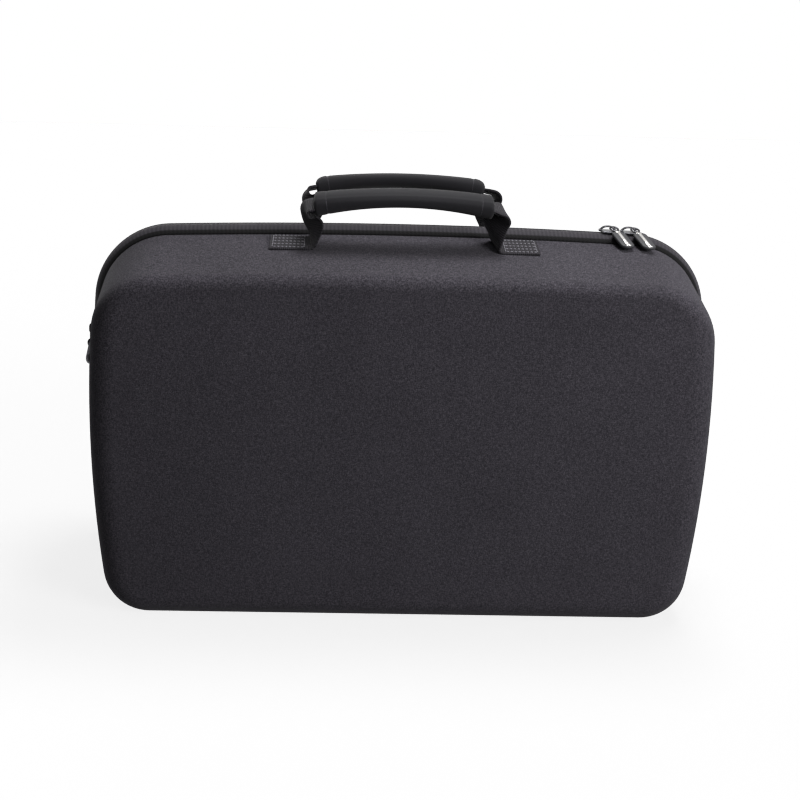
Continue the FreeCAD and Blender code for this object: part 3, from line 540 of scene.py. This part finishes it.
def make_shell(side):
    bm = bmesh.new()
    inside = tray_stations(RIM_GAP, WALL, range(0, 91, 15))[::-1]
    # Depth and drop of the stepped rim, from the lining to the cloth's turned edge
    rim = [(RIM_GAP, WALL - 0.6), (RIM_GAP, RIM_DROP + 0.4), (RIM_GAP + 0.4, RIM_DROP),
           (SEAM - 0.2, RIM_DROP), (SEAM, RIM_DROP - 0.2), (SEAM + 0.1, 1.3), (SEAM + 0.6, 0.45),
           (SEAM + 1.6, 0.3)]
    rim = [(depth, -drop, drop, CASE_HEIGHT - drop) for depth, drop in rim]
    outside = tray_stations(SEAM, 0, range(0, 91, 9))
    stations = inside + rim + outside[1:]
    chains = [half_rim(bm, side * station[0], *station[1:]) for station in stations]
    for number in range(len(chains) - 1):
        made = bmesh.ops.bridge_loops(bm, edges=list(chains[number]) + list(chains[number + 1]))
        for face in made["faces"]:
            face.material_index = int(number < len(inside))
    geom = bm.verts[:] + bm.edges[:] + bm.faces[:]
    bmesh.ops.mirror(bm, geom=geom, axis="X", merge_dist=0.01, matrix=Matrix.Identity(4))
    bmesh.ops.remove_doubles(bm, verts=bm.verts[:], dist=0.002)
    close_ends(bm)
    for face in bm.faces:
        if len(face.verts) > 4:
            face.material_index = int(abs(face.calc_center_median().y) < HALF_DEPTH - 1)
    node = f"{NAME[side]}_shell"
    make_piece(bm, f"{node}_cloth", [SHELL_CLOTH, LINING], BODY[side], [node])


# Zip: ribbed tapes, coils and bound rims, modelled straight and laid round the rim

def tape_section(side):
    """Outer bulge and inner bulge of a tape, as a closed section with a sewn foot."""
    reach = SEAM - 0.15 - ZIP_GAP
    outer = (reach ** 2 + TAPE_RISE ** 2) / (2 * TAPE_RISE)
    centre = TAPE_RISE - outer
    full = asin(reach / outer)
    bulge = 0.9

    def section(share, along):
        outside = share < 0.5
        part = share * 2 if outside else 2 - share * 2
        turn = min(part / bulge, 1) * full
        radius = outer if outside else outer - TAPE_THICK
        across, above = ZIP_GAP + radius * sin(turn), centre + radius * cos(turn)
        if part > bulge:
            above = above + (part - bulge) / 0.1 * (-RIM_DROP + 0.1 - above)
        rib = RIB_RISE * cos(2 * pi * along / RIB_PITCH) if outside and 0.03 < part < 0.95 else 0
        return side * (across + rib * sin(turn)), above + rib * cos(turn)
    return section


def make_tape(side):
    bm = bmesh.new()
    verts = sweep(bm, -ZIP_HALF, ZIP_HALF, RIB_PITCH / 4, 22, tape_section(side))
    follow(verts, rim_at)
    node = f"{NAME[side]}_zip_tape"
    make_piece(bm, f"{node}_woven", [TAPE_CLOTH], BODY[side], [node], sharp=70)


def make_coil(side):
    """A nylon monofilament coil, its turns squashed to the chain's depth; one turn, doubled to 512."""
    bm = bmesh.new()
    turns, steps, wide, deep, wire, end_gap = 512, 9, 1.45, 1.0, 0.36, 6
    pitch = 2 * (ZIP_HALF - end_gap) / turns
    ring = wire_ring(bm, wire, (0, 1, 0), 5)
    bmesh.ops.spin(bm, geom=ring, cent=(0, 0, 0), axis=(1, 0, 0), dvec=(pitch / steps, 0, 0), angle=2 * pi,
                   steps=steps)
    made = 1
    while made < turns:
        copy = bmesh.ops.duplicate(bm, geom=bm.verts[:] + bm.edges[:] + bm.faces[:])["geom"]
        bmesh.ops.translate(bm, vec=(made * pitch, 0, 0), verts=verts_in(copy))
        made *= 2
    bmesh.ops.remove_doubles(bm, verts=bm.verts[:], dist=0.002)
    close_ends(bm)
    bmesh.ops.scale(bm, vec=(1, wide - wire, deep - wire), verts=bm.verts[:])
    shift = (-turns * pitch / 2, side * (ZIP_GAP + wide), TAPE_RISE - TAPE_THICK - deep - 0.1)
    bmesh.ops.translate(bm, vec=shift, verts=bm.verts[:])
    follow(bm.verts, rim_at)
    node = f"{NAME[side]}_zip_coil"
    make_piece(bm, f"{node}_turns", [COIL_PLASTIC], BODY[side], [node], sharp=80)


def make_bindings(side):
    """Grosgrain bound over the rim below the zip's ends, round the lower corners."""
    far_end = RIM_LENGTH / 2 - FOOT_X
    for word, way in (("left", -1), ("right", 1)):
        bm = bmesh.new()
        section = flat_section(side * RIM_GAP, side * (SEAM - SLACK), 0.05 - RIM_DROP, -0.25)
        ends = sorted((way * (ZIP_HALF + SLACK), way * far_end))
        verts = sweep(bm, *ends, 1.5, 28, section)
        follow(verts, rim_at)
        node = f"{NAME[side]}_{word}_binding"
        make_piece(bm, f"{node}_cloth", [BINDING_CLOTH], BODY[side], [node])


def make_hinge():
    """The cloth hinge under both rims."""
    bm = bmesh.new()
    section = flat_section(-SEAM + SLACK, SEAM - SLACK, 0.35, 2.15)
    sweep(bm, -FOOT_X, FOOT_X, 4, 64, section)
    piece = make_piece(bm, "hinge_spine_cloth", [BINDING_CLOTH], None, ["hinge_spine"])
    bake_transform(piece)


# Handles: twisted webbing, padded sleeves and thread

def handle_path(riser):
    """The strap's middle line from its left end: patch, bend, riser, shoulder and arch.

    Gives the path, its length and the distance where the arch begins."""
    shoulder = RISER_TURN - ARCH_SLOPE
    up = [(PATCH_LONG, 0), (FOOT_BEND * RISER_TURN, RISER_TURN), (riser, 0),
          (SHOULDER_BEND * shoulder, -shoulder)]
    at, run = path_of((-PATCH_END, 0), 0, up)
    arch = -at(run)[0] / sin(ARCH_SLOPE)
    over = (arch * 2 * ARCH_SLOPE, -2 * ARCH_SLOPE)
    at, length = path_of((-PATCH_END, 0), 0, up + [over] + up[::-1])
    return at, length, run


def strap_lie(side, length, run):
    """Risers turn their flat side to the front and lean inward; sewn ends are further from the zip."""
    def lie(along):
        part = min(along, length - along)
        share = max(0, min(1, (part - PATCH_LONG) / (run - PATCH_LONG)))
        way = -1 if along < length / 2 else 1
        swell = sin(pi * share) ** 1.5
        fade = min(1, 1.4 * share)
        aside = side * PATCH_SLIP * (1 - fade * fade * (3 - 2 * fade))
        return -way * RISER_TWIST * swell, aside, -RISER_LEAN[way] * swell
    return lie


def strap_section(length, middle):
    """Flat webbing, folded narrower inside its sleeve."""
    half = WEB_WIDE / 2
    flat = flat_section(-half, half, -WEB_THICK / 2, WEB_THICK / 2)

    def section(share, along):
        across, above = flat(share, along)
        inside = max(0, min(1, (SLEEVE_HALF + FOLD_START - abs(along - length / 2)) / FOLD_RUN))
        return middle + across * (1 - STRAP_FOLD * inside), above
    return section


def pad_section(side, middle):
    """A full, blunt pad, thicker to its ends and rounded off, with a seam ridge and nipped hems."""
    def section(share, along):
        turn = 2 * pi * share
        edge = SLEEVE_HALF - abs(along)
        fill = SLEEVE_WAIST + SLEEVE_SWELL * (along / SLEEVE_HALF) ** 2
        fill -= HEM_NIP * max(0, 1 - abs(edge - HEM) / HEM_RUN)
        tuck = 1 - END_TUCK * max(0, 1 - edge / TUCK_RUN) ** 2
        c, s = cos(turn), sin(turn)
        across = SLEEVE_NARROW * SLEEVE_WIDE / 2 * abs(c) ** SLEEVE_BLUNT * (1 if c > 0 else -1)
        above = SLEEVE_FULL * SLEEVE_THICK / 2 * abs(s) ** SLEEVE_BLUNT * (1 if s > 0 else -1)
        if above > 0:
            above *= sqrt(1 - CORNER_FALL * max(0, 1 - edge / SLEEVE_CORNER[side]) ** 2)
        seam = RIDGE * max(0, 1 - abs(turn - (pi / 2 - side * RIDGE_TURN)) / RIDGE_RUN)
        return middle + across * tuck, above * fill * tuck + seam
    return section


def add_patch_stitches(bm, start, middle):
    """Five rows of stitches on one sewn end, closed by a row at each end."""
    up = WEB_THICK / 2 + STITCH_RISE
    low, high = start + PATCH_INSET, start + PATCH_LONG - PATCH_INSET
    reach = 2 * PATCH_APART
    rows = [((low, middle + row * PATCH_APART, up), (high, middle + row * PATCH_APART, up))
            for row in range(-2, 3)]
    rows += [((end, middle - reach, up), (end, middle + reach, up)) for end in (low, high)]
    for row in rows:
        add_stitches(bm, *row, STITCH_PITCH, PATCH_THREAD)


def make_handle(side):
    path, length, run = handle_path(RISER[side])
    middle = side * WEB_WIDE / 2
    lie = strap_lie(side, length, run)
    padding = pad_section(side, middle)
    drop = TOP_BOW - sqrt(TOP_BOW ** 2 - PATCH_END ** 2) + tan(TOP_DRAFT)
    seat = CASE_HEIGHT - drop + WEB_THICK / 2
    place = Matrix.Translation((0, side * (SEAM + 1), seat)) @ Matrix.Rotation(-side * TOP_DRAFT, 4, "X")

    def arch(along):
        return path(length / 2 + SLEEVE_SLIP + along)

    strap = bmesh.new()
    sweep(strap, 0, length, 1.2, 40, strap_section(length, middle))
    follow(strap.verts, path, lie, middle)
    sleeve = bmesh.new()
    sweep(sleeve, -SLEEVE_HALF, SLEEVE_HALF, 1.0, 48, padding)
    follow(sleeve.verts, arch)
    thread = bmesh.new()
    for start in (0, length - PATCH_LONG):
        add_patch_stitches(thread, start, middle)
    follow(thread.verts, path, lie, middle)
    hems = bmesh.new()
    for at in (HEM - SLEEVE_HALF, SLEEVE_HALF - HEM):
        for number in range(HEM_STITCHES):
            near, far = (padding(number / HEM_STITCHES + part, at) for part in HEM_STITCH_PART)
            add_stitches(hems, (at, *near), (at, *far), HEM_PITCH)
    follow(hems.verts, arch)
    for bm in (strap, sleeve, thread, hems):
        bm.transform(place)
    node = f"{NAME[side]}_handle_strap"
    make_piece(strap, f"{node}_webbing", [WEBBING], BODY[side], [node])
    node = f"{NAME[side]}_handle_sleeve"
    pad = make_piece(sleeve, f"{node}_pad", [SLEEVE_CLOTH], BODY[side], [node], sharp=80)
    make_piece(thread, f"{NAME[side]}_patch_stitches", [PALE_THREAD], BODY[side])
    make_piece(hems, f"{NAME[side]}_sleeve_stitches", [THREAD], BODY[side])


# Sliders and pulls

def slider_place(word):
    """Frame on the rim: x along the zip to the right, z out of the case."""
    angle = acos(SLIDER_X[word] / TOP_BOW)
    point = Matrix.Translation((TOP_BOW * cos(angle), 0, TOP[1] + TOP_BOW * sin(angle)))
    return point @ Matrix.Rotation(pi / 2 - angle, 4, "Y")


def make_slider(word):
    """Two plates joined by a divider, with a crown that stands in two lugs."""
    bm = bmesh.new()
    wire_loop(bm, CROWN, CROWN_WIRE, pi, 28)
    close_ends(bm)
    bmesh.ops.scale(bm, vec=(1, 1, CROWN_TALL), verts=bm.verts[:])
    low = TAPE_RISE + PLATE_LIFT
    high = low + PLATE
    bmesh.ops.translate(bm, vec=(0, 0, high - CROWN_SINK), verts=bm.verts[:])
    half_x, half_y = SLIDER_LONG / 2, SLIDER_WIDE / 2
    rounded_box(bm, (-half_x, -half_y, low), (half_x, half_y, high), 0.7)
    rounded_box(bm, (-half_x, -half_y, UNDER_LOW), (half_x, half_y, UNDER_HIGH), 0.5)
    rounded_box(bm, (-DIVIDER_X, -DIVIDER_Y, UNDER_HIGH - DIVIDER_SINK),
                (DIVIDER_X, DIVIDER_Y, low + DIVIDER_SINK), 0.2, 2)
    for foot in (-CROWN, CROWN):
        rounded_box(bm, (foot - LUG_X, -LUG_Y, high - LUG_SINK),
                    (foot + LUG_X, LUG_Y, high + LUG_RISE), 0.5)
    bm.transform(slider_place(word))
    node = f"{word}_slider"
    make_piece(bm, f"{node}_metal", [GUNMETAL], node, [node], sharp=60)


def pull_place(word):
    """Frame at the pull's eye on its crown: x along the pull, z out of its flat side."""
    base = TAPE_RISE + PLATE_LIFT + PLATE - CROWN_SINK
    turn = radians(EYE_TURN)
    eye = Matrix.Translation((CROWN * cos(turn), 0, base + CROWN_TALL * CROWN * sin(turn)))
    lie = Matrix.Rotation(radians(-PULL_TURN), 4, "Z") @ Matrix.Rotation(radians(PULL_TILT), 4, "Y")
    return slider_place(word) @ eye @ lie


def add_prong(bm, place):
    """One arm of the inlaid bar's forked ends."""
    prong = bmesh.new()
    half = INLAY_DEEP / 2
    rounded_box(prong, (-0.4, -PRONG_Y, -half), (PRONG_LONG, PRONG_Y, half), 0.3, 2)
    prong.transform(place)
    scrap = bpy.data.meshes.new("prong")
    prong.to_mesh(scrap)
    prong.free()
    bm.from_mesh(scrap)
    bpy.data.meshes.remove(scrap)


def make_pull_metal(word):
    """A dark eye, then a bright shank and a bar inlaid in the grip, forked at both ends."""
    metal = bmesh.new()
    wire_loop(metal, EYE, EYE_WIRE, 2 * pi, 28, 10)
    metal.transform(Matrix.Rotation(pi / 2, 4, "X"))
    eye_faces = len(metal.faces)
    top = GRIP_THICK / 2 + INLAY_RISE
    near, far = GRIP_START + INLAY_NEAR, GRIP_START + GRIP_LONG - INLAY_FAR
    rounded_box(metal, (EYE, -SHANK_Y, -EYE_WIRE), (near + 1, SHANK_Y, EYE_WIRE), 0.3, 2)
    rounded_box(metal, (near - 0.8, -INLAY_Y, top - INLAY_DEEP), (far + 0.8, INLAY_Y, top), 0.3, 2)
    for at, way, about in ((near, -1, pi), (far, 1, 0)):
        for lean in (-1, 1):
            spread = Matrix.Rotation(way * lean * PRONG_LEAN + about, 4, "Z")
            add_prong(metal, Matrix.Translation((at, 0, top - INLAY_DEEP / 2)) @ spread)
    metal.transform(pull_place(word))
    metal.faces.ensure_lookup_table()
    for face in metal.faces[eye_faces:]:
        face.material_index = 1
    node = f"{word}_pull_spine"
    make_piece(metal, f"{node}_metal", [GUNMETAL, NICKEL], f"{word}_pull", [node], sharp=60)


def make_grip(word):
    """A flat rubber grip with blunt round ends and rounded rims."""
    grip = bmesh.new()
    wide = GRIP_WIDE / 2
    for vert in bmesh.ops.create_circle(grip, segments=28, radius=wide, cap_ends=True)["verts"]:
        blunt = GRIP_BLUNT * vert.co.x
        vert.co.x = blunt + (GRIP_LONG / 2 - GRIP_BLUNT * wide) * (1 if blunt > 0 else -1)
    raised = bmesh.ops.extrude_face_region(grip, geom=grip.faces[:], use_keep_orig=True)["geom"]
    bmesh.ops.translate(grip, vec=(0, 0, GRIP_THICK), verts=verts_in(raised))
    rims = [edge for edge in grip.edges if abs(edge.verts[0].co.z - edge.verts[1].co.z) < 1e-6]
    bmesh.ops.bevel(grip, geom=rims, offset=GRIP_ROUND, segments=4, profile=0.5, affect="EDGES", material=-1)
    bmesh.ops.translate(grip, vec=(GRIP_START + GRIP_LONG / 2, 0, -GRIP_THICK / 2), verts=grip.verts[:])
    grip.transform(pull_place(word))
    node = f"{word}_pull_grip"
    make_piece(grip, f"{node}_rubber", [RUBBER], f"{word}_pull", [node], sharp=60)


# Strap rings and the webbing tabs that hold them

def lay_at_side(bm, word, tip):
    """Bring a ring or tab to the left side, tipped about its bar, or mirror it to the right."""
    joint = next(j for j in frame["joints"] if j["name"] == "left_ring_swing")
    spot = Matrix.Translation(Vector(joint["pos_m"]) / MM)
    lean = Matrix.Rotation(pi - radians(TAB_LEAN), 4, "Z")
    bm.transform(spot @ lean @ Matrix.Rotation(-side_angle(TAB_HEIGHT) - tip, 4, "Y"))
    if word == "right":
        bmesh.ops.scale(bm, vec=(-1, 1, 1), verts=bm.verts[:])


def draw_out(bm, geom, move):
    """Extrude a ring of edges along a straight, and give the new ring."""
    made = bmesh.ops.extrude_edge_only(bm, edges=edges_in(geom))["geom"]
    verts = verts_in(made)
    bmesh.ops.translate(bm, vec=move, verts=verts)
    return verts + [edge for edge in edges_in(made) if all(vert in verts for vert in edge.verts)]


def make_ring(word):
    """A D-ring of round wire: a bar in the tab's loop, and a bow with two round corners below."""
    bm = bmesh.new()
    wire, half = RING_WIRE / 2, RING_INNER / 2 + RING_WIRE / 2
    straight, inset = RING_LONG - RING_CORNER, half - RING_CORNER
    geom = draw_out(bm, wire_ring(bm, wire, (0, half, 0), 14), (0, 0, -straight))
    for y, move in ((inset, (0, -2 * inset, 0)), (-inset, (0, 0, straight))):
        spun = bmesh.ops.spin(bm, geom=geom, cent=(0, y, -straight), axis=(-1, 0, 0), angle=pi / 2,
                              steps=10)
        geom = draw_out(bm, spun["geom_last"], move)
    close_ends(bm)
    cross_bar(bm, wire, 2 * (half + wire), 14)
    lay_at_side(bm, word, RING_HANG)
    node = f"{word}_d_ring"
    make_piece(bm, f"{node}_wire", [GUNMETAL], f"{word}_ring", [node], sharp=60)


def make_tab(word):
    """A sewn strip and the loop that holds the ring; the folded end stands proud above the loop."""
    tab = bmesh.new()
    half = WEB_WIDE / 2
    rounded_box(tab, (-TAB_LOOP, 0.1 - half, 0), (TAB_LOOP - 1.5, half - 0.1, TAB_TALL - 2), 1.4)
    rounded_box(tab, (0, FOLD_INSET - half, TAB_TALL - FOLD_TALL),
                (TAB_LOOP + FOLD_PROUD, half - FOLD_INSET, TAB_TALL), 2.2)
    cross_bar(tab, TAB_LOOP, WEB_WIDE, 24)
    lay_at_side(tab, word, 0)
    make_piece(tab, f"{word}_ring_tab_fold", [SLEEVE_CLOTH], "base", [f"{word}_ring_tab"])


# Inside: console straps and the net pocket

def make_console_strap(word):
    """A sewn strap up the back wall, with a fastening lap at its middle."""
    node = f"{word}_console_strap"
    low, high = (Vector(corner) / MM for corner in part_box(node))
    bm = bmesh.new()
    half, centre = (high.x - low.x) / 2, (low.z + high.z) / 2
    section = flat_section(-half, half, -STRAP_HALF, STRAP_HALF)
    sweep(bm, low.z, high.z, 2, 40, section)
    lap = sweep(bm, centre - LAP_HALF, centre + LAP_HALF, 2, 40, section)
    bmesh.ops.translate(bm, vec=(0, 0, LAP_RISE), verts=lap)
    for end in (low.z + 3, low.z + 18, high.z - 3, high.z - 18):
        add_stitches(bm, (end, 2 - half, 1.1), (end, half - 2, 1.1), STITCH_PITCH)
    upright = Matrix(((0, 1, 0, 0), (0, 0, -1, 0), (1, 0, 0, 0), (0, 0, 0, 1)))
    bm.transform(Matrix.Translation(((low.x + high.x) / 2, high.y - STRAP_HALF, 0)) @ upright)
    make_piece(bm, f"{node}_webbing", [WEBBING], "base", [node])


def make_pocket():
    """A net of square mesh inside the lid, slanting through the depth of its solid."""
    low, high = (Vector(corner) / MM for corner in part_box("mesh_pocket"))
    wide, deep, tall = high.x - low.x, high.y - low.y, high.z - low.z
    bm = bmesh.new()
    columns, rows = round(wide / NET_PITCH), round(tall / NET_PITCH)
    bmesh.ops.create_grid(bm, x_segments=columns, y_segments=rows, size=0.5)
    for vert in bm.verts:
        share = vert.co.y + 0.5
        depth = low.y + 1 + (deep - 2) * share
        vert.co = ((low.x + high.x) / 2 + vert.co.x * wide, depth, low.z + share * tall)
    bmesh.ops.wireframe(bm, faces=bm.faces[:], thickness=NET_WIRE, offset=0, use_replace=True,
                        use_boundary=True)
    make_piece(bm, "mesh_pocket_net", [NET], "lid", ["mesh_pocket"])


def dress_nodes():
    """Finishes for the solids that stay as they are."""
    left = {"rear_left_stop": COIL_PLASTIC, "rear_right_stop": COIL_PLASTIC, "front_left_stop": COIL_PLASTIC,
            "front_right_stop": COIL_PLASTIC, "pocket_binding": SLEEVE_CLOTH}
    for name, finish in left.items():
        node = frame["nodes"][name]
        node.data.materials.clear()
        node.data.materials.append(finish)


for side in (FRONT, REAR):
    make_shell(side)
    make_tape(side)
    make_coil(side)
    make_bindings(side)
    make_handle(side)
make_hinge()
for word in ("left", "right"):
    make_slider(word)
    make_pull_metal(word)
    make_grip(word)
    make_ring(word)
    make_tab(word)
for word in ("left", "right"):
    make_console_strap(word)
make_pocket()
dress_nodes()


# Stage: white floor, soft light from above and the right, and the photograph's camera

def make_floor():
    """A white floor that shows only the shadow on it."""
    bm = bmesh.new()
    bmesh.ops.create_grid(bm, x_segments=1, y_segments=1, size=4)
    mesh = bpy.data.meshes.new("floor")
    bm.to_mesh(mesh)
    bm.free()
    floor = bpy.data.objects.new("floor", mesh)
    bpy.context.scene.collection.objects.link(floor)
    material, tree, shader = new_finish("white_floor")
    set_inputs(tree, shader, {"Base Color": colour("#f4f4f4"), "Roughness": 0.9})
    mesh.materials.append(material)
    floor.is_shadow_catcher = True
    floor.visible_diffuse = floor.visible_glossy = False
    return floor


def make_world():
    """White where it is seen or mirrored, and dim as a light."""
    world = bpy.data.worlds.new("studio")
    bpy.context.scene.world = world
    world.use_nodes = True
    tree = world.node_tree
    rays = add_node(tree, "LightPath")
    seen = rays.outputs["Is Camera Ray"]
    for kind in ("Is Glossy Ray", "Is Transmission Ray"):
        seen = add_node(tree, "Math", {0: seen, 1: rays.outputs[kind]}, operation="MAXIMUM").outputs[0]
    strength = add_node(tree, "MapRange", {"Value": seen, "To Min": 0.08, "To Max": 1})
    set_inputs(tree, tree.nodes["Background"], {"Color": (1, 1, 1, 1), "Strength": strength.outputs[0]})


def make_lamps(floor):
    """Four soft boxes, and a sun for the floor alone that thins the case's shadow, as on a lit table."""
    scene = bpy.context.scene
    lamps = (("overhead", (0.3, 0.2, 1.5), (0.05, 0, 0.2), (0.6, 0.4), 26),
             ("right_front", (0.95, -0.95, 0.75), (0.05, 0, 0.15), (0.6, 0.6), 23),
             ("front_fill", (0.3, -1.9, 0.9), (0, 0, 0.15), (1.0, 0.8), 5),
             ("back_fill", (-0.4, 1.8, 0.7), (0, 0, 0.15), (1.0, 0.8), 9))
    for name, spot, target, size, power in lamps:
        lamp = bpy.data.lights.new(name, "AREA")
        lamp.shape, lamp.size, lamp.size_y, lamp.energy = "RECTANGLE", *size, power
        holder = bpy.data.objects.new(name, lamp)
        holder.location = spot
        aim = Vector(target) - Vector(spot)
        holder.rotation_euler = aim.to_track_quat("-Z", "Y").to_euler()
        scene.collection.objects.link(holder)
    only_floor = bpy.data.collections.new("only_floor")
    only_floor.objects.link(floor)
    lamp = bpy.data.lights.new("floor_fill", "SUN")
    lamp.energy = 40
    holder = bpy.data.objects.new("floor_fill", lamp)
    holder.light_linking.receiver_collection = only_floor
    holder.light_linking.blocker_collection = only_floor
    scene.collection.objects.link(holder)


def make_camera():
    """The photograph's viewpoint, fitted to the case's outline; distances in millimetres."""
    azimuth, elevation, roll = radians(-1.462), radians(14.997), radians(1.573)
    distance, focal, centre_x, centre_y = 859.12, 1112.49, 368.46, 326.80
    target = Vector((-23.93, 0, 203.75))
    back = Vector((sin(azimuth) * cos(elevation), -cos(azimuth) * cos(elevation), sin(elevation)))
    frame_px, sensor = 800, 36
    data = bpy.data.cameras.new("camera")
    data.sensor_width = sensor
    data.lens = focal / frame_px * sensor
    data.shift_x = (frame_px / 2 - centre_x) / frame_px
    data.shift_y = (centre_y - frame_px / 2) / frame_px
    camera = bpy.data.objects.new("camera", data)
    camera.location = (target + back * distance) * MM
    camera.rotation_mode = "QUATERNION"
    camera.rotation_quaternion = (-back).to_track_quat("-Z", "Y") @ Quaternion((0, 0, 1), roll)
    bpy.context.scene.collection.objects.link(camera)
    bpy.context.scene.camera = camera


bpy.context.scene.view_settings.view_transform = "Standard"
stage_floor = make_floor()
make_world()
make_lamps(stage_floor)
make_camera()
